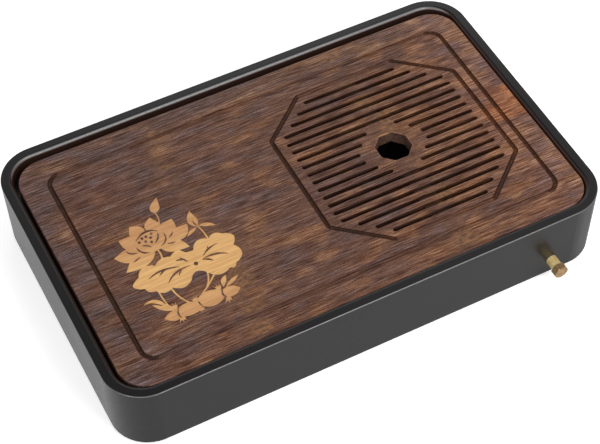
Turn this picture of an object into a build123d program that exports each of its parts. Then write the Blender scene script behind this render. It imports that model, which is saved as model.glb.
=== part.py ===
from build123d import *

import math
import os

os.makedirs("parts", exist_ok=True)

# A gongfu tea tray: a black body with a water tank inside, a bamboo board with a
# grille that rests on a ledge in it, and a brass drain outlet with a screw plug.
# All lengths are in millimetres. X runs along the long side, the outlet faces -Y
# and Z is up. Pieces are built about the middle of the body's bottom outline and
# moved together at the end, so that the feet stand on Z = 0.

# Body: measured from the photo, with the length set to the common size of such trays.
body_length = 390.0
body_width = 243.5
body_height = 59.5
body_corner_radius = 30.5
wall_draft_degrees = 1.0
body_top_round = 1.0
body_bottom_edge_break = 0.6
rim_width = 8.7
rim_inner_round = 2.7

# Ledge and tank inside the body.
ledge_width = 7.3
ledge_edge_break = 0.8
floor_thickness = 6.0
tank_floor_bevel = 1.5

# Board: it lies loosely in the recess, a little to the front and to the right.
board_thickness = 11.0
board_drop = 2.0
board_end_gap = 1.8
board_side_gap = 2.55
board_shift_right = 1.0
board_shift_front = 2.05
board_top_edge_break = 0.8
board_bottom_edge_break = 0.8

# Water groove round the board, a little nearer to the grille's end of it.
border_margin = 19.3
border_offset = 1.4
border_corner_radius = 10.0
groove_width = 3.5
groove_depth = 1.8
groove_floor_bevel = 1.1

# Eight-sided groove round the grille, and the grille's slots.
grille_offset = 78.1
octagon_length = 157.4
octagon_width = 156.0
octagon_cut_x = 38.0
octagon_cut_y = 32.0
octagon_corner_radius = 3.0
slot_count = 18
slot_pitch = 8.2
slot_width = 3.3
slot_side_margin = 8.5
slot_slant_margin = 11.2
bridge_width = 14.0
bridge_groove_depth = 3.0

# Plain wood kept round the drain hole, and the hole, flats along the sides.
guard_half_width = 25.9
guard_half_diagonal = 22.8
drain_hole_flats = 26.0
drain_hole_edge_break = 0.6

# Drain outlet: a hollow brass stem that is screwed through the wall from inside.
drain_from_right = 48.0
stem_diameter = 8.3
stem_out = 8.3
stem_end_break = 0.4
bore_diameter = 5.2
flange_flats = 13.0
flange_thickness = 3.0
flange_edge_break = 0.6
flange_floor_gap = 2.5
gasket_thickness = 1.5
gasket_diameter = 12.6
stem_hole_clearance = 0.05

# Pocket in the tank's front wall that takes the outlet's flange and a spanner.
pocket_width = 28.0
pocket_headroom = 7.5
pocket_round = 3.0
sump_depth = 1.5

# Screw plug that closes the outlet, with its sealing washer.
plug_flats = 10.4
plug_head_length = 5.0
plug_edge_break = 0.8
plug_shank_length = 7.0
plug_tip_break = 0.5
plug_thread_clearance = 0.05
washer_thickness = 0.9
washer_diameter = 8.0
washer_seat_depth = 0.8
washer_clearance = 0.1

# Rubber feet, each in a round pocket under the body.
foot_diameter = 24.0
foot_thickness = 3.5
foot_pocket_depth = 1.5
foot_pocket_clearance = 0.2
foot_inset = 31.0

# Cuts run this far past a face, so that they always come out clean.
overrun = 1.0

# Sizes and places that follow from the ones above.
recess_length = body_length - 2 * rim_width
recess_width = body_width - 2 * rim_width
recess_corner_radius = body_corner_radius - rim_width
tank_length = recess_length - 2 * ledge_width
tank_width = recess_width - 2 * ledge_width
tank_corner_radius = recess_corner_radius - ledge_width
board_length = recess_length - 2 * board_end_gap
board_width = recess_width - 2 * board_side_gap
board_top = body_height - board_drop
ledge_height = board_top - board_thickness
foot_drop = foot_thickness - foot_pocket_depth

drain_height = floor_thickness + flange_floor_gap + flange_flats / 2
stem_end = rim_width + stem_out
plug_underside = stem_end + washer_thickness - washer_seat_depth
plug_end = plug_underside + plug_head_length
front_overhang = plug_end - rim_width

# The board's middle, and the outlet's axis: its plane lies on the pocket's wall
# and looks outwards, so a piece of the outlet is built along its own Z.
board_place = Location((board_shift_right, -board_shift_front, 0))
drain_plane = Plane(
    origin=(body_length / 2 - drain_from_right, -recess_width / 2, drain_height),
    x_dir=(1, 0, 0),
    z_dir=(0, -1, 0),
)

# The origin is under the middle of the whole tray, plug included, on the table.
tray_place = Location((0, front_overhang / 2, foot_drop))


def rounded_block(length, width, radius, low, high):
    outline = RectangleRounded(length, width, radius)
    return extrude(Plane.XY.offset(low) * outline, amount=high - low)


def along(outer_diameter, low, high):
    """A round bar along its own Z axis."""
    return extrude(Plane.XY.offset(low) * Circle(outer_diameter / 2), amount=high - low)


def hexagon_bar(flats, low, high):
    outline = RegularPolygon(radius=flats / 2, side_count=6, major_radius=False)
    return extrude(Plane.XY.offset(low) * outline, amount=high - low)


def corner_trim(flats, edge_break, low, high):
    """A turned blank whose broken end at high takes the corners off a hexagon."""
    corners = flats / math.cos(math.radians(30))
    blank = along(corners, low, high)
    return chamfer(blank.edges().sort_by(Axis.Z)[-1], edge_break)


def foot_centres():
    across = body_length / 2 - foot_inset
    deep = body_width / 2 - foot_inset
    return {
        "foot_front_left": (-across, -deep),
        "foot_front_right": (across, -deep),
        "foot_back_left": (-across, deep),
        "foot_back_right": (across, deep),
    }


def make_body():
    top_outline = RectangleRounded(body_length, body_width, body_corner_radius)
    shell = extrude(
        Plane.XY.offset(body_height) * top_outline,
        amount=body_height,
        dir=(0, 0, -1),
        taper=wall_draft_degrees,
    )
    shell = fillet(shell.edges().group_by(Axis.Z)[-1], body_top_round)
    shell = chamfer(shell.edges().group_by(Axis.Z)[0], body_bottom_edge_break)

    recess = rounded_block(
        recess_length, recess_width, recess_corner_radius, ledge_height, body_height + overrun
    )
    tank = rounded_block(
        tank_length, tank_width, tank_corner_radius, floor_thickness, ledge_height + overrun
    )
    tank = chamfer(tank.edges().group_by(Axis.Z)[0], tank_floor_bevel)
    open_shell = shell - recess
    open_shell = fillet(new_edges(shell, recess, combined=open_shell), rim_inner_round)
    tray = open_shell - tank
    tray = chamfer(new_edges(open_shell, tank, combined=tray), ledge_edge_break)
    return tray - drain_pocket() - foot_pockets()


def drain_pocket():
    low = floor_thickness - sump_depth - drain_height
    high = flange_flats / 2 + pocket_headroom
    outline = Pos(0, (low + high) / 2) * RectangleRounded(pocket_width, high - low, pocket_round)
    pocket = extrude(outline, amount=ledge_width + tank_floor_bevel, dir=(0, 0, -1))
    hole = along(stem_diameter + 2 * stem_hole_clearance, -overrun, rim_width + overrun)
    return drain_plane * (pocket + hole)


def foot_pockets():
    pocket = along(foot_diameter + 2 * foot_pocket_clearance, -overrun, foot_pocket_depth)
    return Part() + [Pos(x, y, 0) * pocket for x, y in foot_centres().values()]


def groove_ring(centre_line):
    """A channel with bevelled floor corners that follows the edge of the face centre_line."""
    ring = offset(centre_line, groove_width / 2) - offset(centre_line, -groove_width / 2)
    channel = extrude(
        Plane.XY.offset(board_top + overrun) * ring, amount=groove_depth + overrun, dir=(0, 0, -1)
    )
    return chamfer(channel.edges().group_by(Axis.Z)[0], groove_floor_bevel)


def octagon_outline():
    half_x, half_y = octagon_length / 2, octagon_width / 2
    in_x, in_y = half_x - octagon_cut_x, half_y - octagon_cut_y
    corners = [
        (half_x, in_y), (in_x, half_y), (-in_x, half_y), (-half_x, in_y),
        (-half_x, -in_y), (-in_x, -half_y), (in_x, -half_y), (half_x, -in_y),
    ]
    outline = make_face(Polyline(*corners, close=True))
    return fillet(outline.vertices(), octagon_corner_radius)


def slot_half_length(row_y):
    """Slots stop at one distance from the groove's ends, another from its slanted sides."""
    from_end = octagon_length / 2 - slot_side_margin
    rise = octagon_width / 2 - abs(row_y)
    slanted_side = octagon_length / 2 - octagon_cut_x + rise * octagon_cut_x / octagon_cut_y
    return min(from_end, slanted_side - slot_slant_margin)


def slot_cut(start, end, row_y, low, high):
    outline = Pos((start + end) / 2, row_y) * SlotOverall(end - start, slot_width)
    return extrude(Plane.XY.offset(low) * outline, amount=high - low)


def grille_cuts():
    """Rows of slots: through cuts over a bridge in the middle, kept off the hole."""
    below, above = ledge_height - overrun, board_top + overrun
    bridge = extrude(
        Plane.XY.offset(below) * Rectangle(bridge_width, octagon_width),
        amount=board_top - bridge_groove_depth - below,
    )
    cuts = []
    for row in range(slot_count):
        row_y = (row - (slot_count - 1) / 2) * slot_pitch
        end = slot_half_length(row_y)
        guard = min(guard_half_width, guard_half_diagonal * math.sqrt(2) - abs(row_y))
        if guard < bridge_width / 2:
            cuts.append(slot_cut(-end, end, row_y, below, above) - bridge)
        else:
            cuts.append(slot_cut(guard, end, row_y, below, above))
            cuts.append(slot_cut(-end, -guard, row_y, below, above))
    return cuts


def drain_hole_cut():
    """An eight-sided hole, flats along the tray's sides, with its top edge broken."""
    half_side = drain_hole_flats / 2 * math.tan(math.radians(22.5))
    half = drain_hole_flats / 2
    corners = [
        (half, half_side), (half_side, half), (-half_side, half), (-half, half_side),
        (-half, -half_side), (-half_side, -half), (half_side, -half), (half, -half_side),
    ]
    outline = make_face(Polyline(*corners, close=True))
    below = ledge_height - overrun
    hole = extrude(Plane.XY.offset(below) * outline, amount=board_thickness + 2 * overrun)
    mouth = extrude(
        Plane.XY.offset(board_top - drain_hole_edge_break) * outline,
        amount=drain_hole_edge_break + overrun,
        taper=-45,
    )
    return hole + mouth


def make_board():
    board = rounded_block(
        board_length, board_width, recess_corner_radius, ledge_height, board_top
    )
    board = chamfer(board.edges().group_by(Axis.Z)[-1], board_top_edge_break)
    board = chamfer(board.edges().group_by(Axis.Z)[0], board_bottom_edge_break)

    border = Pos(border_offset, 0) * RectangleRounded(
        board_length - 2 * border_margin, board_width - 2 * border_margin, border_corner_radius
    )
    grille_place = Pos(grille_offset, 0, 0)
    board = board - groove_ring(border) - grille_place * groove_ring(octagon_outline())
    board = board - [grille_place * cut for cut in grille_cuts()]
    board = board - grille_place * drain_hole_cut()
    return board_place * board


def make_spigot():
    stem = along(stem_diameter, -gasket_thickness, stem_end)
    stem = chamfer(stem.edges().sort_by(Axis.Z)[-1], stem_end_break)
    inside = -gasket_thickness - flange_thickness
    flange = hexagon_bar(flange_flats, inside, -gasket_thickness)
    blank = mirror(
        corner_trim(flange_flats, flange_edge_break, gasket_thickness, -inside), Plane.XY
    )
    bore = along(bore_diameter, inside - overrun, stem_end + overrun)
    return drain_plane * (stem + (flange & blank) - bore)


def make_gasket():
    ring = along(gasket_diameter, -gasket_thickness, 0)
    opening = along(stem_diameter + 2 * stem_hole_clearance, -gasket_thickness - overrun, overrun)
    return drain_plane * (ring - opening)


def make_plug():
    head = hexagon_bar(plug_flats, plug_underside, plug_end)
    head = head & corner_trim(plug_flats, plug_edge_break, plug_underside, plug_end)
    seat = along(
        washer_diameter + 2 * washer_clearance,
        plug_underside - overrun,
        plug_underside + washer_seat_depth,
    )
    shank = along(
        bore_diameter - 2 * plug_thread_clearance,
        stem_end - plug_shank_length,
        plug_underside + washer_seat_depth,
    )
    shank = chamfer(shank.edges().sort_by(Axis.Z)[0], plug_tip_break)
    return drain_plane * (head - seat + shank)


def make_washer():
    ring = along(washer_diameter, stem_end, stem_end + washer_thickness)
    opening = along(bore_diameter, stem_end - overrun, plug_end)
    return drain_plane * (ring - opening)


def make_foot(centre):
    """A pad punched out of rubber sheet, so its edges are square."""
    return Pos(*centre, 0) * along(foot_diameter, -foot_drop, foot_pocket_depth)


pieces = {
    "base_tray": make_body(),
    "grille_board": make_board(),
    "drain_spigot": make_spigot(),
    "spigot_gasket": make_gasket(),
    "drain_plug": make_plug(),
    "plug_washer": make_washer(),
}
for name, centre in foot_centres().items():
    pieces[name] = make_foot(centre)

for name, piece in pieces.items():
    placed = tray_place * piece
    placed.label = name
    export_step(placed, f"parts/{name}.step")
    box = placed.bounding_box()
    print(name, len(placed.solids()), "solid", round(placed.volume), "mm3", box.min, box.max)
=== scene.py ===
# %% [markdown]
# # A gongfu tea tray
# This tray has a black body with a water tank inside. A loose board of dark bamboo lies in
# it, with grooves, a slotted grille and a lotus carved into it, and a small brass outlet
# with a screw plug comes out of the front wall. The solids come from the CAD model, in
# metres and already in their places, so this lesson adds only what CAD leaves out: fine
# shapes, carving and finishes.

import math

import bmesh
import bpy
from mathutils import Matrix, Vector, geometry


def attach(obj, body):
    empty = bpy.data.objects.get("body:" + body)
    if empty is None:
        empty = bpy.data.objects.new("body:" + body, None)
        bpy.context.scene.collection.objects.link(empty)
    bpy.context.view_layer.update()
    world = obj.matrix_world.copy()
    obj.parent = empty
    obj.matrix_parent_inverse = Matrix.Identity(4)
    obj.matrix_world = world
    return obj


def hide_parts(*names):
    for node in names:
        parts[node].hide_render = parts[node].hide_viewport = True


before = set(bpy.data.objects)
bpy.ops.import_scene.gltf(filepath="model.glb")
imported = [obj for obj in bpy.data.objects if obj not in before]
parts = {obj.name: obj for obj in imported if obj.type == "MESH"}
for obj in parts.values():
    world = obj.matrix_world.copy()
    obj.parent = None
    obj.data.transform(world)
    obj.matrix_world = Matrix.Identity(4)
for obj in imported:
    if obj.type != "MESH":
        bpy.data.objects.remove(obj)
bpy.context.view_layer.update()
MM = 0.001
print("parts from the CAD model:", sorted(parts))

# %% [markdown]
# ## The camera
# The photograph looks down on the tray from its front left, from about 1.3 m away. A long
# lens keeps the sides nearly parallel. Blender could aim the camera with a Track To
# constraint, but a direction and a small roll in plain numbers are easier to check. The
# lamps are aimed in the same way later.

# %% Place the camera
def looking(spot, target):
    """The matrix of a camera or lamp that stands at a spot and faces a target."""
    turn = (target - spot).to_track_quat("-Z", "Y").to_matrix().to_4x4()
    return Matrix.Translation(spot) @ turn


camera_spot = Vector((-351.0, -697.75, 999.8)) * MM
aim_point = Vector((-15.84, -27.34, 59.5)) * MM
camera_roll = math.radians(-0.938)

lens = bpy.data.cameras.new("tray_camera")
lens.sensor_width = 36.0
lens.lens = 100.39
camera = bpy.data.objects.new("tray_camera", lens)
bpy.context.scene.collection.objects.link(camera)
camera.matrix_world = looking(camera_spot, aim_point) @ Matrix.Rotation(camera_roll, 4, "Z")
bpy.context.scene.camera = camera
bpy.context.scene.view_settings.view_transform = "Standard"
print("camera is", round((aim_point - camera_spot).length, 3), "m from the tray")

# %% [markdown]
# ## Short names for shader nodes
# Every finish below is a small graph of nodes. Node graphs can be drawn in the Shader
# Editor, but written out they are long, so short helpers do the repeated work: one adds a
# node and fills its sockets, and the others add the sums, mixes and soft steps that are
# used all the time.

# %% Helpers that add and join nodes
def feed(tree, socket, value):
    """Gives a socket a number or colour, or joins it to another node's output."""
    if isinstance(value, bpy.types.NodeSocket):
        tree.links.new(value, socket)
    else:
        socket.default_value = value


def add(tree, kind, options=None, **sockets):
    """Adds a node. Options are its own settings, and sockets are its inputs by name."""
    made = tree.nodes.new("ShaderNode" + kind)
    for name, value in (options or {}).items():
        setattr(made, name, value)
    for name, value in sockets.items():
        feed(tree, made.inputs[name.replace("_", " ")], value)
    return made


def reckon(tree, operation, *values):
    """One step of arithmetic on numbers or sockets."""
    made = add(tree, "Math", {"operation": operation})
    for socket, value in zip(made.inputs, values):
        feed(tree, socket, value)
    return made.outputs[0]


def compare(tree, operation, first, second):
    """A number from two vectors, such as their distance."""
    made = add(tree, "VectorMath", {"operation": operation})
    feed(tree, made.inputs[0], first)
    feed(tree, made.inputs[1], second)
    return made.outputs["Value"]


def axes_of(tree, vector):
    """A vector's X, Y and Z."""
    return add(tree, "SeparateXYZ", Vector=vector).outputs


def away_from(tree, axes, spot):
    """How far a place is from a spot, seen from above."""
    flat = add(tree, "CombineXYZ", X=axes["X"], Y=axes["Y"]).outputs[0]
    return compare(tree, "DISTANCE", flat, Vector((spot[0], spot[1], 0.0)))


def blend_colours(tree, share, first, second, how="MIX"):
    """Mixes two colours; a share of 1 gives the second one."""
    made = add(tree, "Mix", {"data_type": "RGBA", "blend_type": how})
    for number, value in ((0, share), (6, first), (7, second)):
        if isinstance(value, tuple):
            value = (*value, 1.0)
        feed(tree, made.inputs[number], value)
    return made.outputs[2]


def tinted(tree, colour, factors):
    """A colour with its red, green and blue multiplied."""
    return blend_colours(tree, 1.0, colour, factors, "MULTIPLY")


def fade(tree, value, start, end):
    """0 on start's side, 1 on end's side and a soft step between. Start may be the higher."""
    made = add(tree, "MapRange", {"interpolation_type": "SMOOTHSTEP"}, Value=value)
    made.inputs["From Min"].default_value = start
    made.inputs["From Max"].default_value = end
    return made.outputs[0]


def new_finish(name):
    """An empty material with a place on its surface, in metres."""
    finish = bpy.data.materials.new(name)
    finish.use_nodes = True
    finish.node_tree.nodes.clear()
    place = add(finish.node_tree, "TexCoord").outputs["Object"]
    return finish, finish.node_tree, place


def grain(tree, place, per_metre, detail=3.0, roughness=0.55):
    """Noise that is stretched by a number of waves per metre along X, Y and Z."""
    made = add(tree, "Mapping", Vector=place, Scale=per_metre)
    noise = add(tree, "TexNoise", Vector=made.outputs[0], Scale=1.0, Detail=detail)
    noise.inputs["Roughness"].default_value = roughness
    return noise.outputs["Fac"]


def close_finish(tree, shader):
    """Joins a shader to the material's output."""
    output = add(tree, "OutputMaterial")
    tree.links.new(shader.outputs[0], output.inputs["Surface"])


print("node helpers are ready")

# %% [markdown]
# ## The studio
# The tray was photographed on plain white in soft light. The floor is a pale sheet that
# catches the tray's shadow. The world is a plain soft room. Both glow where they are seen
# directly, so they come out white without any extra light on the tray. The floor glows a
# little more for the camera than in mirrors, which leaves only a faint shadow. A glossy
# surface sees the same white room, but for a dark patch of ceiling behind the tray, such as
# the open end of a studio tent: it turns the flat rim nearly black and leaves the walls grey.

# %% Light the room
def seen_directly(tree):
    """1 for rays from the camera, a mirror or glass, and 0 for light on matt surfaces."""
    ray = add(tree, "LightPath").outputs
    seen = reckon(tree, "MAXIMUM", ray["Is Camera Ray"], ray["Is Glossy Ray"])
    return reckon(tree, "MAXIMUM", seen, ray["Is Transmission Ray"])


room_light = 0.45
dark_patch = Vector((-0.20, 0.35, 0.915)).normalized()
patch_depth = 0.95
world = bpy.data.worlds.new("soft_room")
world.use_nodes = True
bpy.context.scene.world = world
room = world.node_tree
room.nodes.clear()
ray = add(room, "LightPath").outputs
toward = add(room, "TexCoord").outputs["Generated"]
in_patch = fade(room, compare(room, "DOT_PRODUCT", toward, dark_patch), 0.81, 0.94)
darker = reckon(room, "MULTIPLY", in_patch, -patch_depth)
white = reckon(room, "MULTIPLY_ADD", ray["Is Glossy Ray"], darker, 1.0)
extra = reckon(room, "SUBTRACT", white, room_light)
strength = reckon(room, "MULTIPLY_ADD", seen_directly(room), extra, room_light)
sky = add(room, "Background", Color=(1.0, 1.0, 1.0, 1.0), Strength=strength)
room.links.new(sky.outputs[0], add(room, "OutputWorld").inputs["Surface"])
print("room strength", room_light, "with a dark patch towards", [round(n, 2) for n in dark_patch])

# %% Lay the floor
floor_half_width = 3.0
glow_when_seen = 0.38
glow_for_camera = 0.22

floor_finish, tree, _ = new_finish("pale_floor")
paper = add(tree, "BsdfDiffuse", Color=(0.8, 0.8, 0.8, 1.0))
seen_glow = reckon(tree, "MULTIPLY", seen_directly(tree), glow_when_seen)
to_camera = add(tree, "LightPath").outputs["Is Camera Ray"]
strength = reckon(tree, "MULTIPLY_ADD", to_camera, glow_for_camera, seen_glow)
glow = add(tree, "Emission", Color=(1.0, 1.0, 1.0, 1.0), Strength=strength)
both = add(tree, "AddShader")
tree.links.new(paper.outputs[0], both.inputs[0])
tree.links.new(glow.outputs[0], both.inputs[1])
close_finish(tree, both)

sheet = bmesh.new()
bmesh.ops.create_grid(sheet, x_segments=8, y_segments=8, size=floor_half_width)
floor_mesh = bpy.data.meshes.new("floor")
sheet.to_mesh(floor_mesh)
sheet.free()
floor = bpy.data.objects.new("floor", floor_mesh)
floor.data.materials.append(floor_finish)
bpy.context.scene.collection.objects.link(floor)
print("floor", floor.dimensions.x, "m wide")


# %% Hang the lamps
lamp_target = Vector((0.0, 0.0, 0.04))


def soft_lamp(name, spot, width, height, power):
    """A lamp that faces the tray, like a soft box on a stand, in metres and watts."""
    light = bpy.data.lights.new(name, "AREA")
    light.shape = "RECTANGLE"
    light.size = width
    light.size_y = height
    light.energy = power
    lamp = bpy.data.objects.new(name, light)
    bpy.context.scene.collection.objects.link(lamp)
    lamp.matrix_world = looking(Vector(spot), lamp_target)


soft_lamp("soft_box_above", (0.55, -0.35, 1.50), 1.1, 1.1, 2.6)
soft_lamp("soft_box_behind", (0.48, 1.25, 1.05), 0.8, 0.7, 2.4)
soft_lamp("soft_box_in_front", (0.33, -1.12, 1.08), 0.65, 0.7, 9.8)
soft_lamp("box_at_the_left", (-1.15, -0.75, 0.98), 0.32, 0.32, 4.4)
print("lamps:", [lamp.name for lamp in bpy.data.lights])

# %% [markdown]
# ## Black satin body
# The body is smooth black lacquer with a satin gloss. Its colour is nearly black, and all
# its looks come from reflections, so the roughness matters most. A faint waviness and a
# little unevenness in the gloss keep it from looking like a perfect computer surface.
# Which way the surface faces tells the rest: the rounded edges in front are buffed and
# catch a broad highlight, the surfaces that face right shine less, and the walls beside
# the board get a painted reflection of its brown in their colour.

# %% Make the black finish
black_finish, tree, place = new_finish("black_satin")
cloudy = grain(tree, place, (14.0, 14.0, 14.0))
fine = grain(tree, place, (900.0, 900.0, 900.0), detail=1.0)
rough = reckon(tree, "MULTIPLY_ADD", cloudy, 0.06, 0.25)
tint = blend_colours(tree, cloudy, (0.0100, 0.0088, 0.0089), (0.0130, 0.0114, 0.0116))
bump = add(tree, "Bump", Height=fine, Strength=0.04, Distance=0.0002)

normal = add(tree, "NewGeometry").outputs["Normal"]
facing = axes_of(tree, normal)
to_front = fade(tree, facing["Y"], -0.15, -0.45)
buffed = reckon(tree, "MULTIPLY", to_front, fade(tree, facing["Z"], 0.12, 0.40))
rough = reckon(tree, "MULTIPLY_ADD", buffed, 0.14, rough)
shine = reckon(tree, "MULTIPLY_ADD", buffed, 1.3, 0.2)
to_right = fade(tree, facing["X"], 0.15, 0.50)
shine = reckon(tree, "MULTIPLY_ADD", to_right, -0.17, shine)

# Painted reflection: walls that face inward, beside the board, get the board's brown in their
# colour.
inward = fade(tree, compare(tree, "DOT_PRODUCT", normal, place), -0.02, -0.07)
beside_board = fade(tree, axes_of(tree, place)["Z"], 0.045, 0.050)
inside = reckon(tree, "MULTIPLY", inward, beside_board)
tint = blend_colours(tree, inside, tint, (0.034, 0.016, 0.012))

shader = add(tree, "BsdfPrincipled", Base_Color=tint, Roughness=rough, Normal=bump.outputs[0])
feed(tree, shader.inputs["Specular IOR Level"], shine)
close_finish(tree, shader)
parts["base_tray"].material_slots[0].material = black_finish
print("black finish on", parts["base_tray"].name)

# %% [markdown]
# ## Outlines of the board
# Everything in the board is cut along a closed outline: the board's own edge, the water
# groove, the eight-sided groove, the slots and the drain hole. Booleans could cut them,
# but they leave ragged shading on a glossy board. One function that rounds the corners of
# any outline, and can grow it, gives matching rings of points that join up neatly.

# %% Outlines with rounded corners
board_radius = 21.8
same_spot = 1e-6


def outline(corners, radius, grow=0.0, steps=8):
    """Points anticlockwise round a shape whose corners are rounded, grown by so many mm."""
    points = []
    for number, corner in enumerate(corners):
        here = Vector(corner)
        arriving = (here - Vector(corners[number - 1])).normalized()
        leaving = (Vector(corners[(number + 1) % len(corners)]) - here).normalized()
        turn = arriving.angle(leaving)
        inward = (leaving - arriving).normalized()
        centre = here + inward * radius / math.cos(turn / 2)
        first = math.atan2(-arriving.x, arriving.y)
        for step in range(steps + 1):
            angle = first + turn * step / steps
            point = centre + Vector((math.cos(angle), math.sin(angle))) * (radius + grow)
            if not points or (point - points[-1]).length > same_spot:
                points.append(point)
    if (points[0] - points[-1]).length < same_spot:
        points.pop()
    return points


def rectangle(length, width):
    """Four corners round the middle, anticlockwise."""
    x, y = length / 2, width / 2
    return [(-x, -y), (x, -y), (x, y), (-x, y)]


def eight_sides(length, width, cut_x, cut_y):
    """A rectangle whose corners are cut off, so far along X and Y."""
    x, y = length / 2, width / 2
    return [
        (x, cut_y - y), (x, y - cut_y), (x - cut_x, y), (cut_x - x, y),
        (-x, y - cut_y), (-x, cut_y - y), (cut_x - x, -y), (x - cut_x, -y),
    ]


def moved(points, x, y=0.0):
    """The same outline somewhere else."""
    return [point + Vector((x, y)) for point in points]


board_corners = rectangle(369.0, 221.0)
print("points in a board outline:", len(outline(board_corners, board_radius)))

# %% [markdown]
# ## Rings and skins
# The board is modelled in millimetres round its own middle, and moved at the end. A ring
# is an outline at one height, and a skin of quads joins ring to ring. A worn wooden edge
# is never sharp, so each edge gets a short series of rings along a quarter circle.

# %% Rings, skins and rounded edges
board_top = 59.5
board_bottom = 48.5
WOOD, CARVED, GROOVE, CUT = 0, 1, 2, 3
wood = bmesh.new()


def ring(points, drop):
    """Puts an outline's points so many mm below the board's top."""
    return [wood.verts.new((point.x, point.y, board_top - drop)) for point in points]


def skin(rings, material=WOOD):
    """Joins each ring to the next one with quads."""
    for upper, lower in zip(rings, rings[1:]):
        for number in range(len(upper)):
            after = (number + 1) % len(upper)
            face = wood.faces.new((upper[number], upper[after], lower[after], lower[number]))
            face.material_index = material


def worn_edge(radius, steps=4):
    """How far in from a wall, and how far down, each ring of a rounded top edge lies."""
    turns = [math.pi / 2 * step / steps for step in range(steps + 1)]
    return [(radius * (1 - math.sin(turn)), radius * (1 - math.cos(turn))) for turn in turns]


board_thickness = board_top - board_bottom
upper_edge = worn_edge(0.9)
lower_edge = [(inset, board_thickness - drop) for inset, drop in reversed(worn_edge(0.8))]
side_rings = [
    ring(outline(board_corners, board_radius, grow=-inset, steps=20), drop)
    for inset, drop in upper_edge + lower_edge
]
skin(side_rings)
top_rings = [side_rings[0]]
bottom_rings = [side_rings[-1]]
print("the board's side has", len(side_rings), "rings of", len(side_rings[0]), "points")

# %% [markdown]
# ## Water groove and eight-sided groove
# A round-nosed router bit cuts both grooves, so their section is a lip, a round bottom and
# a lip. Each point of that section becomes a ring, offset from the groove's middle line.

# %% Rout the two grooves
groove_width = 3.5
groove_depth = 1.8
border_length = 330.4
border_width = 182.4
border_radius = 10.0
border_x = 1.4
grille_x = 78.1
octagon_length = 157.4
octagon_width = 156.0
octagon_cut_x = 38.0
octagon_cut_y = 32.0
octagon_radius = 3.0


def groove_section(width, depth, lip=0.3, steps=10):
    """Offsets from the middle line and drops, from the outer lip to the inner one."""
    half = width / 2
    outer = [(half + inset, drop) for inset, drop in worn_edge(lip, 3)]
    turns = [math.pi * step / steps for step in range(1, steps)]
    bowl = [(half * math.cos(turn), lip + (depth - lip) * math.sin(turn)) for turn in turns]
    inner = [(-offset, drop) for offset, drop in reversed(outer)]
    return outer + bowl + inner


def rout_groove(corners, radius, x, steps):
    """Cuts a groove along an outline, with its middle so far along X."""
    rings = [
        ring(moved(outline(corners, radius, grow=offset, steps=steps), x), drop)
        for offset, drop in groove_section(groove_width, groove_depth)
    ]
    skin(rings, GROOVE)
    top_rings.extend((rings[0], rings[-1]))
    return rings


border = rout_groove(rectangle(border_length, border_width), border_radius, border_x, 12)
octagon = eight_sides(octagon_length, octagon_width, octagon_cut_x, octagon_cut_y)
eight_sided = rout_groove(octagon, octagon_radius, grille_x, 4)
print("grooves:", len(border[0]), "and", len(eight_sided[0]), "points round")

# %% [markdown]
# ## Slots and drain hole
# The grille is a fan of parallel slots that stop short of the eight-sided groove. Most of
# them run over a bridge of solid wood in the middle, which keeps the thin bars stiff, and
# the ones beside the drain hole stop short of it. A loop cuts them row by row: two margins
# keep their ends off the groove, and a guard round the drain hole keeps them off its edge.
# The CAD model places them by the same rule, so that both models agree.

# %% Cut the slots
slot_width = 3.3
slot_pitch = 8.2
slot_rows = 18
side_margin = 8.5
slanted_margin = 11.2
bridge_half = 7.0
bridge_drop = 3.0
guard_half = 25.9
guard_slant = 22.8
tolerance = 1e-3


def with_points_at(points, stops):
    """Adds a point wherever an outline's straight run crosses one of the stops in x."""
    result = []
    for here, after in zip(points, points[1:] + points[:1]):
        result.append(here)
        crossed = [x for x in stops if min(here.x, after.x) < x < max(here.x, after.x)]
        for x in sorted(crossed, reverse=after.x < here.x):
            result.append(here.lerp(after, (x - here.x) / (after.x - here.x)))
    return result


def cut_slot(start, end, row_y, bridged=False):
    """A slot from start to end along X, counted from the grille's middle."""
    corners = rectangle(end - start, slot_width)
    middle = (start + end) / 2
    stops = [-bridge_half, bridge_half] if bridged else []
    rings = []
    for inset, drop in worn_edge(0.45, 3) + [(0.0, bridge_drop)]:
        points = moved(outline(corners, slot_width / 2, grow=inset, steps=5), middle, row_y)
        points = moved(with_points_at(points, stops), grille_x)
        rings.append(ring(points, drop))
    skin(rings, CUT)
    top_rings.append(rings[0])
    loops = [rings[-1]]
    if bridged:
        left = grille_x - bridge_half
        right = grille_x + bridge_half
        loops = [
            [corner for corner in rings[-1] if corner.co.x < left + tolerance],
            [corner for corner in rings[-1] if corner.co.x > right - tolerance],
        ]
        inner = [
            corner for corner in rings[-1]
            if abs(abs(corner.co.x - grille_x) - bridge_half) < tolerance
        ]
        wood.faces.new(inner).material_index = CUT
    for loop in loops:
        lower = [wood.verts.new((c.co.x, c.co.y, board_bottom)) for c in loop]
        skin([loop, lower], CUT)
        bottom_rings.append(lower)


uncut_rings = len(top_rings)
for row in range(slot_rows):
    row_y = (row - (slot_rows - 1) / 2) * slot_pitch
    rise = octagon_width / 2 - abs(row_y)
    slanted_side = octagon_length / 2 - octagon_cut_x + rise * octagon_cut_x / octagon_cut_y
    end = min(octagon_length / 2 - side_margin, slanted_side - slanted_margin)
    guard = min(guard_half, guard_slant * math.sqrt(2) - abs(row_y))
    if guard < bridge_half:
        cut_slot(-end, end, row_y, bridged=True)
    else:
        cut_slot(-end, -guard, row_y)
        cut_slot(guard, end, row_y)
print("slots open at the top:", len(top_rings) - uncut_rings)

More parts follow.
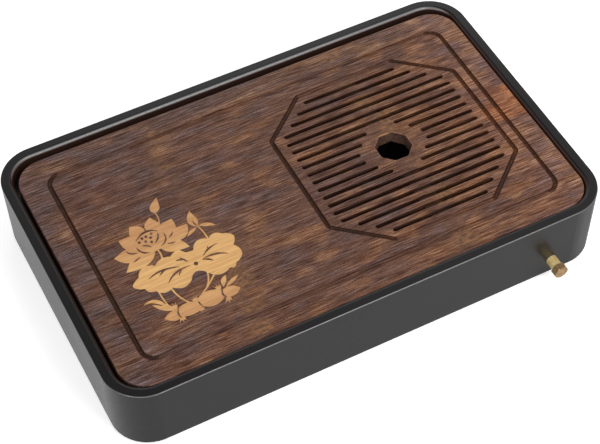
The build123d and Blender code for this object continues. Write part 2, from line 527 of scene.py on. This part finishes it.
# %% Cut the drain hole
hole_across = 26.0
hole_cut = 7.615
hole_corners = eight_sides(hole_across, hole_across, hole_cut, hole_cut)
hole_rings = []
for inset, drop in worn_edge(0.6, 4) + [(0.0, board_thickness)]:
    points = outline(hole_corners, 0.4, grow=inset, steps=2)
    hole_rings.append(ring(moved(points, grille_x), drop))
skin(hole_rings, CUT)
top_rings.append(hole_rings[0])
bottom_rings.append(hole_rings[-1])
print("drain hole:", len(hole_rings[0]), "points round")

# %% [markdown]
# ## The lotus, a traditional papercut motif
# A lotus flower with its leaf, bud and root is an old good-luck motif. Here it is a shallow
# carving that shows the pale bamboo under the dark stain, and the fine lines inside it are
# left standing. Almost every shape in it is a blade along a bent line, pointed at both
# ends, so one function draws petals, leaves, veins and whiskers. All places are in
# millimetres from the leaf's heart.

# %% Blades, stems, scallops and discs
def along_bend(start, via, end, share):
    """A point and a direction on the bent line from start to end that leans towards via."""
    first = start.lerp(via, share)
    second = via.lerp(end, share)
    return first.lerp(second, share), (second - first).normalized()


def blade(start, via, end, width, fullest=0.5, stem=False, steps=14):
    """A closed outline along a bend: pointed like a petal, or even in width like a stem."""
    start, via, end = Vector(start), Vector(via), Vector(end)
    power = math.log(0.5) / math.log(fullest)
    left, right = [], []
    for step in range(steps + 1):
        share = step / steps
        point, along = along_bend(start, via, end, share)
        swell = 1.0 if stem else math.sin(math.pi * share**power)
        across = Vector((-along.y, along.x)) * width / 2 * swell
        left.append(point + across)
        if stem or 0 < step < steps:
            right.append(point - across)
    return right + left[::-1]


def disc(centre, radius, squash=1.0, steps=20):
    """A circle, or an oval when it is squashed along Y."""
    turns = [2 * math.pi * step / steps for step in range(steps)]
    spokes = [Vector((math.cos(turn), math.sin(turn) * squash)) for turn in turns]
    return [Vector(centre) + spoke * radius for spoke in spokes]


def scallops(cusps, steps=9):
    """Arcs from cusp to cusp. The third number is how far each one bulges, for its span."""
    points = []
    for number, (x, y, bulge) in enumerate(cusps):
        start = Vector((x, y))
        end = Vector(cusps[(number + 1) % len(cusps)][:2])
        span = end - start
        outward = Vector((span.y, -span.x))
        for step in range(steps):
            share = step / steps
            lean = bulge * math.sin(math.pi * share) ** 0.8
            points.append(start + span * share + outward * lean)
    return points


def fan(root, count, first, last, length, width=1.3):
    """A tuft of whiskers: thin blades that spread from one spot, angles in degrees."""
    tuft = []
    for number in range(count):
        share = number / (count - 1)
        angle = math.radians(first + (last - first) * share)
        shorter = 0.25 * (number % 2)
        reach = length * (1.0 - shorter)
        tip = Vector(root) + Vector((math.cos(angle), math.sin(angle))) * reach
        via = Vector(root).lerp(tip, 0.5) + Vector((0.0, 0.12 * reach * math.sin(angle)))
        tuft.append(blade(root, via, tip, width, fullest=0.35, steps=6))
    return tuft


# %% Draw the flower, bud and small leaves
petals = [
    blade((-24.5, 38.0), (-25.0, 46.0), (-28.3, 52.9), 12.0, 0.48),
    blade((-13.0, 38.0), (-14.6, 46.0), (-11.7, 54.0), 11.4, 0.48),
    blade((-22.0, 33.0), (-32.0, 36.0), (-40.4, 44.7), 14.0, 0.55),
    blade((-15.0, 33.0), (-5.4, 36.5), (1.8, 45.6), 13.5, 0.55),
    blade((-20.0, 29.0), (-36.0, 26.0), (-49.6, 31.4), 13.2, 0.6),
    blade((-14.0, 30.0), (0.0, 27.5), (9.6, 36.3), 12.0, 0.58),
    blade((-20.5, 28.0), (-33.0, 20.5), (-46.8, 15.6), 12.5),
    blade((-19.5, 28.0), (-25.5, 20.5), (-34.0, 14.0), 5.5),
    blade((-16.0, 28.0), (-6.0, 23.5), (2.9, 16.2), 11.0),
    blade((-17.5, 28.0), (-11.5, 21.5), (-4.0, 16.2), 6.4),
    disc((-19.6, 33.8), 12.0, 0.85),
]
flower_lines = [
    blade((-29.8, 37.8), (-20.5, 47.2), (-11.8, 40.0), 1.5),
    blade((-12.5, 38.8), (-12.8, 33.8), (-17.8, 30.8), 1.2),
    blade((-9.0, 36.4), (-7.6, 28.6), (-15.2, 26.2), 1.1),
    blade((-31.4, 33.6), (-31.6, 26.4), (-24.8, 24.8), 1.2),
    blade((-27.2, 32.4), (-23.8, 31.8), (-21.6, 28.6), 1.0),
    blade((-39.6, 33.4), (-37.8, 28.6), (-32.4, 28.2), 1.0),
    blade((-38.4, 22.0), (-35.0, 22.9), (-32.4, 24.2), 0.9),
    blade((-2.4, 34.8), (-4.0, 31.6), (-7.2, 30.8), 0.9),
    blade((-10.2, 26.4), (-7.5, 24.6), (-4.4, 25.2), 0.9),
]
seeds = [
    disc(spot, 1.0, steps=10)
    for spot in (
        (-27.8, 36.2), (-24.6, 38.7), (-21.4, 39.0), (-16.9, 39.7),
        (-18.7, 36.6), (-23.3, 35.0), (-19.6, 32.7),
    )
]
bud = [
    blade((-7.0, 55.6), (-5.2, 61.2), (0.4, 69.0), 7.4, 0.38),
    blade((-6.7, 56.2), (-5.6, 50.5), (-8.2, 45.0), 1.1, stem=True),
]
small_leaves = [
    blade((15.2, 30.2), (13.0, 38.0), (16.2, 46.3), 7.4, 0.42),
    blade((15.0, 30.1), (9.6, 28.8), (4.6, 24.8), 3.2),
    blade((15.6, 30.9), (22.0, 29.8), (28.2, 25.2), 3.8),
    blade((15.2, 31.0), (17.6, 25.0), (17.2, 15.0), 1.4, stem=True),
]
small_leaf_lines = [blade((13.9, 37.4), (14.3, 33.6), (15.2, 31.0), 0.9)]
print("flower:", len(petals), "petals and", len(seeds), "seeds")

# %% Draw the big leaf, stems and root
big_leaf = scallops([
    (3.8, -10.2, 0.25), (20.0, -14.0, 0.33), (25.7, -12.0, 0.32), (31.2, 3.6, 0.40),
    (27.9, 16.6, 0.29), (17.7, 16.6, 0.31), (3.7, 12.6, -0.05), (-2.2, 13.2, 0.30),
    (-13.3, 14.6, 0.19), (-26.0, 12.3, 0.31), (-40.9, 7.8, 0.60), (-40.7, -3.5, 0.24),
    (-34.9, -8.5, 0.25), (-23.2, -11.2, 0.24), (-8.3, -11.0, -0.38),
])
leaf_veins = [
    blade((-11.5, 3.4), (-25.0, 8.6), (-35.0, 3.2), 1.4),
    blade((-20.8, 5.4), (-23.8, 4.9), (-27.2, 2.4), 0.9),
    blade((-4.4, 0.7), (-16.6, 2.4), (-24.2, -6.4), 1.5),
    blade((-10.8, 0.4), (-12.8, -0.8), (-15.0, -3.8), 0.9),
    blade((-4.2, 4.8), (-6.0, 8.0), (-8.4, 10.6), 1.1),
    blade((-6.0, 7.2), (-8.6, 9.2), (-11.4, 9.4), 0.8),
    blade((7.8, 4.4), (12.6, 9.2), (21.2, 10.1), 1.2),
    blade((12.0, 6.8), (13.4, 8.0), (13.8, 11.2), 0.8),
    blade((6.4, 2.1), (16.6, 3.9), (24.4, -2.0), 1.5),
    blade((5.6, 1.6), (9.8, 0.8), (12.2, -2.6), 1.1),
    disc((0.2, 0.5), 1.5),
]
stems = [
    blade((-19.4, 26.0), (-17.0, 20.0), (-20.2, 13.0), 1.5, stem=True),
    blade((-33.2, -9.0), (-33.7, -17.0), (-31.9, -25.6), 1.3, stem=True),
    blade((-24.4, -9.0), (-24.2, -21.0), (-16.6, -30.2), 1.5, stem=True),
    blade((4.4, -7.0), (4.0, -15.0), (-1.2, -21.0), 1.3, stem=True),
    blade((8.8, -12.6), (2.0, -20.0), (-12.0, -28.8), 1.5, stem=True),
]
curled_leaf = [
    blade((-50.0, -17.2), (-38.6, -10.2), (-33.0, -25.4), 3.6, 0.62),
    blade((-42.4, -17.8), (-37.0, -24.0), (-30.0, -30.0), 3.8),
    blade((-36.5, -20.0), (-32.6, -24.0), (-29.4, -30.6), 3.6),
]
root = [
    blade((-39.4, -32.8), (-33.0, -33.8), (-22.0, -33.8), 8.8),
    disc((-20.5, -33.0), 9.4, 0.6),
    disc((-3.2, -31.7), 9.8, 0.71),
    blade((6.0, -32.6), (13.0, -32.7), (19.3, -32.7), 8.0),
    disc((11.0, -32.5), 6.6, 0.71),
]
root_lines = [
    blade((-27.4, -29.8), (-30.2, -33.4), (-28.2, -37.4), 1.3),
    blade((6.8, -29.4), (3.9, -32.4), (7.0, -35.6), 1.3),
    blade((-12.2, -30.0), (-12.6, -32.0), (-11.4, -34.8), 0.9),
]
root_leaves = [
    blade((8.6, -27.4), (10.2, -21.6), (14.6, -18.0), 4.0),
    blade((9.4, -28.2), (16.2, -24.7), (23.0, -21.6), 3.2),
]
whiskers = (
    fan((-28.8, -30.4), 6, 112.0, 64.0, 8.0)
    + fan((-28.0, -35.4), 6, 240.0, 304.0, 6.8)
    + fan((-13.6, -30.8), 6, 118.0, 58.0, 6.8)
    + fan((-13.0, -35.0), 6, 222.0, 316.0, 5.6)
    + fan((5.0, -29.4), 6, 114.0, 62.0, 8.0)
    + fan((7.2, -35.6), 6, 234.0, 310.0, 6.4)
)
carved = petals + bud + small_leaves + [big_leaf] + stems + curled_leaf
carved += root + root_leaves + whiskers
standing = flower_lines + seeds + small_leaf_lines + leaf_veins + root_lines
print("lotus:", len(carved), "carved shapes,", len(standing), "lines left standing")

# %% [markdown]
# ## The board's flat top and bottom
# What is left of the top is flat wood between rings, with many openings in it. Blender can
# triangulate such a shape in one go, and tells for each triangle which outlines it lies
# in. An odd number of rings means wood, an even number means a groove or a hole. The
# triangles inside the lotus are set down by the depth of the carving, with walls round.

# %% Fill the flat wood and carve the lotus
carving_depth = 0.4
heart_of_leaf = Vector((-99.0, -31.4))
inside_only = 1
merge_distance = 1e-5


def facing_up(points):
    """The same outline, anticlockwise."""
    area = sum(a.cross(b) for a, b in zip(points, points[1:] + points[:1]))
    return points if area > 0 else points[::-1]


def fill(rings, carved=(), standing=()):
    """Fills the flat wood between rings. Returns how many triangles were carved."""
    corners = [corner for loop in rings for corner in loop]
    places = [corner.co.xy for corner in corners]
    outlines, start = [], 0
    for loop in rings:
        outlines.append(list(range(start, start + len(loop))))
        start += len(loop)
    for shape in [*carved, *standing]:
        places.extend(facing_up(shape))
        outlines.append(list(range(start, start + len(shape))))
        start += len(shape)
    spots, _, triangles, sources, _, owners = geometry.delaunay_2d_cdt(
        places, [], outlines, inside_only, merge_distance
    )
    level = corners[0].co.z
    upper = []
    for spot, origin in zip(spots, sources):
        known = [number for number in origin if number < len(corners)]
        upper.append(corners[known[0]] if known else wood.verts.new((*spot, level)))
    first_line = len(rings) + len(carved)
    lower, carved_sides, count = {}, set(), 0
    for triangle, inside in zip(triangles, owners):
        if sum(number < len(rings) for number in inside) % 2 == 0:
            continue
        is_carved = any(len(rings) <= number < first_line for number in inside)
        if not is_carved or any(number >= first_line for number in inside):
            wood.faces.new([upper[number] for number in triangle])
            continue
        for number in triangle:
            if number not in lower:
                lower[number] = wood.verts.new((*spots[number], level - carving_depth))
        face = wood.faces.new([lower[number] for number in triangle])
        face.material_index = CARVED
        count += 1
        carved_sides.update(zip(triangle, triangle[1:] + triangle[:1]))
    for here, after in carved_sides:
        if (after, here) not in carved_sides:
            wood.faces.new((upper[here], upper[after], lower[after], lower[here]))
    return count


def on_board(shapes):
    """The lotus's shapes in the board's own millimetres."""
    return [moved(shape, *heart_of_leaf) for shape in shapes]


fill(bottom_rings)
carved_count = fill(top_rings, on_board(carved), on_board(standing))
print("carved triangles:", carved_count, "of", len(wood.faces), "faces")

# %% Put the board into the tray
board_middle = Vector((1.0, 4.65, 0.0))
sharp_from = math.radians(40.0)
loose = [corner for corner in wood.verts if not corner.link_faces]
bmesh.ops.delete(wood, geom=loose, context="VERTS")
bmesh.ops.recalc_face_normals(wood, faces=wood.faces)
open_edges = sum(1 for edge in wood.edges if len(edge.link_faces) != 2)
wood.transform(Matrix.Scale(MM, 4) @ Matrix.Translation(board_middle))
board_mesh = bpy.data.meshes.new("carved_board")
wood.to_mesh(board_mesh)
wood.free()
board_mesh.shade_smooth()
board_mesh.set_sharp_from_angle(angle=sharp_from)
board = bpy.data.objects.new("carved_board", board_mesh)
bpy.context.scene.collection.objects.link(board)
even = board.modifiers.new("even_shading", "WEIGHTED_NORMAL")
even.keep_sharp = True
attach(board, "board")
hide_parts("grille_board")
print("open edges in the board:", open_edges)

# %% [markdown]
# ## Dark bamboo
# The board is glued up from bamboo strips, heated until they turn dark brown. Each strip has
# long fine fibres along X, golden, reddish and greyish patches, and about every 160 mm a
# mottled band where the cane had a joint. Noise that is stretched along X gives the fibres,
# and the strip's number, fed into white noise, shifts each strip along. The right end is
# paler, the ends and the back edge get a painted greyish sheen, and a rusty patch lies by the
# right border. The colour is made by one function, so that the grooves and slots get the same
# bamboo under painted shade.

# %% Colour the bamboo
strip_width = 0.0205
joint_spacing = 0.1636
joint_offset = 0.0690
rusty_spot = (0.175, 0.006)
lacquer_shine = 0.2


def bamboo_place(tree, place):
    """Splits a place into x, y, z and gives each strip its own shift along X."""
    axes = axes_of(tree, place)
    strip = reckon(tree, "FLOOR", reckon(tree, "DIVIDE", axes["Y"], strip_width))
    chance = add(tree, "TexWhiteNoise", {"noise_dimensions": "1D"}, W=strip).outputs["Value"]
    shifted = reckon(tree, "MULTIPLY_ADD", chance, 3.7, axes["X"])
    shifted_place = add(tree, "CombineXYZ", X=shifted, Y=axes["Y"], Z=axes["Z"]).outputs[0]
    return axes, chance, shifted_place


def joint_share(tree, place, axes, chance):
    """1 at a joint of the cane, which wavers from strip to strip, and 0 away from it."""
    sway = grain(tree, place, (0.0, 60.0, 60.0), 2.0, 0.5)
    jitter = reckon(tree, "MULTIPLY_ADD", chance, 0.012, reckon(tree, "MULTIPLY", sway, 0.012))
    along = reckon(tree, "ADD", reckon(tree, "ADD", axes["X"], jitter), joint_offset)
    from_joint = reckon(tree, "PINGPONG", along, joint_spacing / 2)
    return reckon(tree, "SUBTRACT", 1.0, fade(tree, from_joint, 0.003, 0.012))


def stained_bamboo(tree, place):
    """The stained bamboo's colour, and the noise of its finest threads."""
    axes, chance, strip_place = bamboo_place(tree, place)
    pores = grain(tree, strip_place, (800.0, 1500.0, 1500.0), 1.0, 0.5)
    threads = grain(tree, strip_place, (60.0, 1750.0, 1750.0), 2.0, 0.6)
    fibres = grain(tree, strip_place, (24.0, 850.0, 850.0), 2.0, 0.6)
    bundles = grain(tree, strip_place, (8.0, 200.0, 200.0), 1.0, 0.5)
    clouds = grain(tree, strip_place, (8.0, 30.0, 30.0), 3.0, 0.55)
    warmth = grain(tree, place, (34.0, 66.0, 66.0), 2.0, 0.5)

    colour = blend_colours(
        tree, fade(tree, clouds, 0.30, 0.70), (0.102, 0.046, 0.030), (0.135, 0.056, 0.028)
    )
    to_right = reckon(tree, "MULTIPLY_ADD", axes["X"], 0.45, warmth)
    golden = reckon(tree, "MULTIPLY", fade(tree, to_right, 0.50, 0.68), 0.60)
    colour = blend_colours(tree, golden, colour, (0.235, 0.100, 0.042))
    greyish = reckon(tree, "MULTIPLY", fade(tree, to_right, 0.46, 0.30), 0.55)
    colour = blend_colours(tree, greyish, colour, (0.098, 0.058, 0.048))
    for noise, dark, pale in (
        (bundles, (0.96, 0.94, 0.92), (1.04, 1.06, 1.08)),
        (fibres, (0.80, 0.71, 0.62), (1.24, 1.34, 1.47)),
        (threads, (0.40, 0.22, 0.10), (1.72, 2.05, 2.45)),
        (pores, (0.82, 0.76, 0.70), (1.16, 1.22, 1.27)),
    ):
        streak = blend_colours(tree, fade(tree, noise, 0.34, 0.66), dark, pale)
        colour = tinted(tree, colour, streak)

    paler = tinted(tree, colour, (1.32, 1.30, 1.34))
    colour = blend_colours(tree, fade(tree, axes["X"], 0.115, 0.165), colour, paler)
    from_spot = away_from(tree, axes, rusty_spot)
    rim_of_spot = reckon(tree, "MULTIPLY_ADD", warmth, -0.03, from_spot)
    rusty = tinted(tree, colour, (1.24, 1.07, 0.88))
    colour = blend_colours(tree, fade(tree, rim_of_spot, 0.012, -0.006), colour, rusty)
    # Painted sheen: a greyish tint along both ends and the back edge, kept off the rusty patch.
    near_ends = fade(tree, reckon(tree, "ABSOLUTE", axes["X"]), 0.150, 0.178)
    sheen_near_edges = reckon(tree, "MAXIMUM", near_ends, fade(tree, axes["Y"], 0.085, 0.105))
    sheen_near_edges = reckon(tree, "MULTIPLY", sheen_near_edges, fade(tree, rim_of_spot, -0.006, 0.012))
    colour = blend_colours(tree, sheen_near_edges, colour, tinted(tree, colour, (0.97, 1.07, 1.18)))

    mottle = grain(tree, place, (190.0, 420.0, 420.0), 4.0, 0.7)
    speckled = blend_colours(
        tree, fade(tree, mottle, 0.38, 0.64), (0.085, 0.045, 0.028), (0.340, 0.160, 0.066)
    )
    joint = joint_share(tree, place, axes, chance)
    share = reckon(tree, "MULTIPLY", joint, fade(tree, clouds, 0.40, 0.62))
    return blend_colours(tree, reckon(tree, "MULTIPLY", share, 0.7), colour, speckled), threads


def satin_wood(tree, colour, threads):
    """Satin lacquer over the colour, with the threads just felt in it."""
    rough = reckon(tree, "MULTIPLY_ADD", threads, 0.22, 0.36)
    bump = add(tree, "Bump", Height=threads, Strength=0.3, Distance=0.0002)
    shader = add(tree, "BsdfPrincipled", Base_Color=colour, Roughness=rough)
    feed(tree, shader.inputs["Normal"], bump.outputs[0])
    shader.inputs["Specular IOR Level"].default_value = lacquer_shine
    close_finish(tree, shader)


dark_bamboo, tree, place = new_finish("dark_bamboo")
satin_wood(tree, *stained_bamboo(tree, place))
board.data.materials.append(dark_bamboo)
print("dark bamboo has", len(tree.nodes), "nodes")

# %% [markdown]
# ## Pale bamboo inside the carving
# Where the stain is cut away the bamboo is yellow-tan, with the same fibres along X but
# much gentler. It turns more orange towards the flower and the root, away from the leaf.

# %% Mix the pale bamboo
pale_bamboo, tree, place = new_finish("pale_bamboo")
axes, _, strip_place = bamboo_place(tree, place)
threads = grain(tree, strip_place, (90.0, 1500.0, 1500.0), 3.0, 0.6)
fibres = grain(tree, strip_place, (20.0, 420.0, 420.0), 3.0, 0.6)
tone = reckon(tree, "MULTIPLY_ADD", threads, 0.5, reckon(tree, "MULTIPLY", fibres, 0.5))
pale = blend_colours(
    tree, fade(tree, tone, 0.35, 0.65), (0.64, 0.335, 0.115), (0.83, 0.50, 0.195)
)
leaf_middle = (board_middle + heart_of_leaf.to_3d()) * MM
from_leaf = reckon(tree, "SUBTRACT", axes["Y"], leaf_middle.y)
orange = fade(tree, reckon(tree, "ABSOLUTE", from_leaf), 0.010, 0.036)
pale = blend_colours(tree, orange, pale, tinted(tree, pale, (0.79, 0.70, 0.74)))
bump = add(tree, "Bump", Height=threads, Strength=0.3, Distance=0.0002)
shader = add(tree, "BsdfPrincipled", Base_Color=pale, Roughness=0.55, Normal=bump.outputs[0])
close_finish(tree, shader)
board.data.materials.append(pale_bamboo)
print("the carving turns orange away from y =", round(leaf_middle.y, 4), "m")

# %% [markdown]
# ## Darker bamboo in the grooves and cuts
# The grooves get painted shade below their lip, darkest where they run across the fibres,
# and each groove's front wall gets a painted shadow, darker than the painted shade on its
# back wall. The slots get painted shade that deepens with depth, and the drain hole has a
# painted highlight on its lip over a greyer wall. Both finishes only multiply the board's
# own colour, so the grain runs on.

# %% Darken the grooves
def depth_in_board(tree, axes):
    """How far a place lies below the board's top."""
    return reckon(tree, "SUBTRACT", board_top * MM, axes["Z"])


groove_bamboo, tree, place = new_finish("groove_bamboo")
colour, threads = stained_bamboo(tree, place)
depth = depth_in_board(tree, axes_of(tree, place))
facing = axes_of(tree, add(tree, "NewGeometry").outputs["Normal"])
# Painted shadow on each groove's front wall and painted shade on its back wall; the darkest
# painted shade goes on walls that face along X.
front_wall_shadow = fade(tree, facing["Y"], 0.50, 0.85)
back_wall_shade = fade(tree, facing["Y"], -0.10, -0.60)
across_grain_shade = fade(tree, reckon(tree, "ABSOLUTE", facing["X"]), 0.0, 0.03)
# Below the lip the whole groove gets this painted shade.
below_lip = fade(tree, depth, 0.0001, 0.0003)
tone = blend_colours(tree, back_wall_shade, (0.94, 0.84, 0.74), (0.62, 0.50, 0.40))
tone = blend_colours(tree, front_wall_shadow, tone, (0.40, 0.29, 0.19))
tone = blend_colours(tree, across_grain_shade, tone, (0.28, 0.17, 0.07))
tone = blend_colours(tree, below_lip, (0.98, 0.96, 0.94), tone)
satin_wood(tree, tinted(tree, colour, tone), threads)
board.data.materials.append(groove_bamboo)
print("groove bamboo has", len(tree.nodes), "nodes")

# %% Darken the slots and the drain hole
cut_bamboo, tree, place = new_finish("cut_bamboo")
colour, threads = stained_bamboo(tree, place)
axes = axes_of(tree, place)
depth = depth_in_board(tree, axes)
# Painted shade in the slots: darker below the lip and darkest deep down.
below_lip = fade(tree, depth, 0.0002, 0.0012)
deep_shade = fade(tree, depth, 0.0015, 0.0050)
tone = blend_colours(tree, below_lip, (0.90, 0.86, 0.82), (0.38, 0.35, 0.33))
tone = blend_colours(tree, deep_shade, tone, (0.20, 0.18, 0.17))
hole_middle = (board_middle + Vector((grille_x, 0.0, 0.0))) * MM
in_hole = fade(tree, away_from(tree, axes, hole_middle), 0.018, 0.017)
# Painted highlight: a pale, bluish lip round the drain hole, over a greyer wall.
below_hole_lip = fade(tree, depth, 0.0004, 0.0010)
hole_tone = blend_colours(tree, below_hole_lip, (1.60, 1.75, 1.95), (0.60, 0.72, 1.02))
tone = blend_colours(tree, in_hole, tone, hole_tone)
satin_wood(tree, tinted(tree, colour, tone), threads)
board.data.materials.append(cut_bamboo)
print("finishes on the board:", [slot.name for slot in board.data.materials])

# %% [markdown]
# ## Brass and rubber
# The outlet's stem is bright turned brass with fine rings from the lathe. Its surface is
# worn, so only part of it mirrors like metal and the rest scatters light like paint. The
# plug's six-sided head is older looking, darker and cloudy. The feet, gasket and washer
# are plain black rubber. All of these keep their CAD shapes and only get finishes.

# %% Mix the brass
def mix_brass(name, bright, dull, gloss, metallic):
    """Brass with tarnish, painted highlight streaks along the outlet's axis and fine rings from
    the lathe.
    """
    finish, tree, place = new_finish(name)
    turned = grain(tree, place, (120.0, 5000.0, 120.0), 2.0, 0.5)
    highlight_streaks = grain(tree, place, (420.0, 30.0, 420.0), 1.0, 0.5)
    tarnish = grain(tree, place, (300.0, 300.0, 300.0), 3.0, 0.6)
    colour = blend_colours(tree, fade(tree, tarnish, 0.38, 0.66), bright, dull)
    # Painted highlight: pale streaks that run along the outlet's axis.
    pale = tinted(tree, colour, (1.10, 1.09, 1.16))
    colour = blend_colours(tree, fade(tree, highlight_streaks, 0.45, 0.62), colour, pale)
    rough = reckon(tree, "MULTIPLY_ADD", tarnish, 0.2, gloss)
    bump = add(tree, "Bump", Height=turned, Strength=0.5, Distance=0.0001)
    shader = add(tree, "BsdfPrincipled", Base_Color=colour, Metallic=metallic, Roughness=rough)
    feed(tree, shader.inputs["Normal"], bump.outputs[0])
    close_finish(tree, shader)
    return finish


bright_brass = mix_brass("bright_brass", (0.98, 0.78, 0.38), (0.86, 0.60, 0.21), 0.34, 0.45)
aged_brass = mix_brass("aged_brass", (0.42, 0.28, 0.14), (0.30, 0.18, 0.08), 0.44, 0.85)
parts["drain_spigot"].material_slots[0].material = bright_brass
parts["drain_plug"].material_slots[0].material = aged_brass
print("brass on the outlet and the plug")

# %% Mix the rubber
rubber, tree, place = new_finish("black_rubber")
speckle = grain(tree, place, (1500.0, 1500.0, 1500.0), 2.0, 0.5)
tint = blend_colours(tree, speckle, (0.014, 0.014, 0.014), (0.034, 0.033, 0.032))
bump = add(tree, "Bump", Height=speckle, Strength=0.3, Distance=0.0001)
shader = add(tree, "BsdfPrincipled", Base_Color=tint, Roughness=0.75, Normal=bump.outputs[0])
close_finish(tree, shader)
rubber_parts = [name for name in parts if name.startswith("foot_")]
rubber_parts += ["spigot_gasket", "plug_washer"]
for name in rubber_parts:
    parts[name].material_slots[0].material = rubber
print("rubber on", rubber_parts)
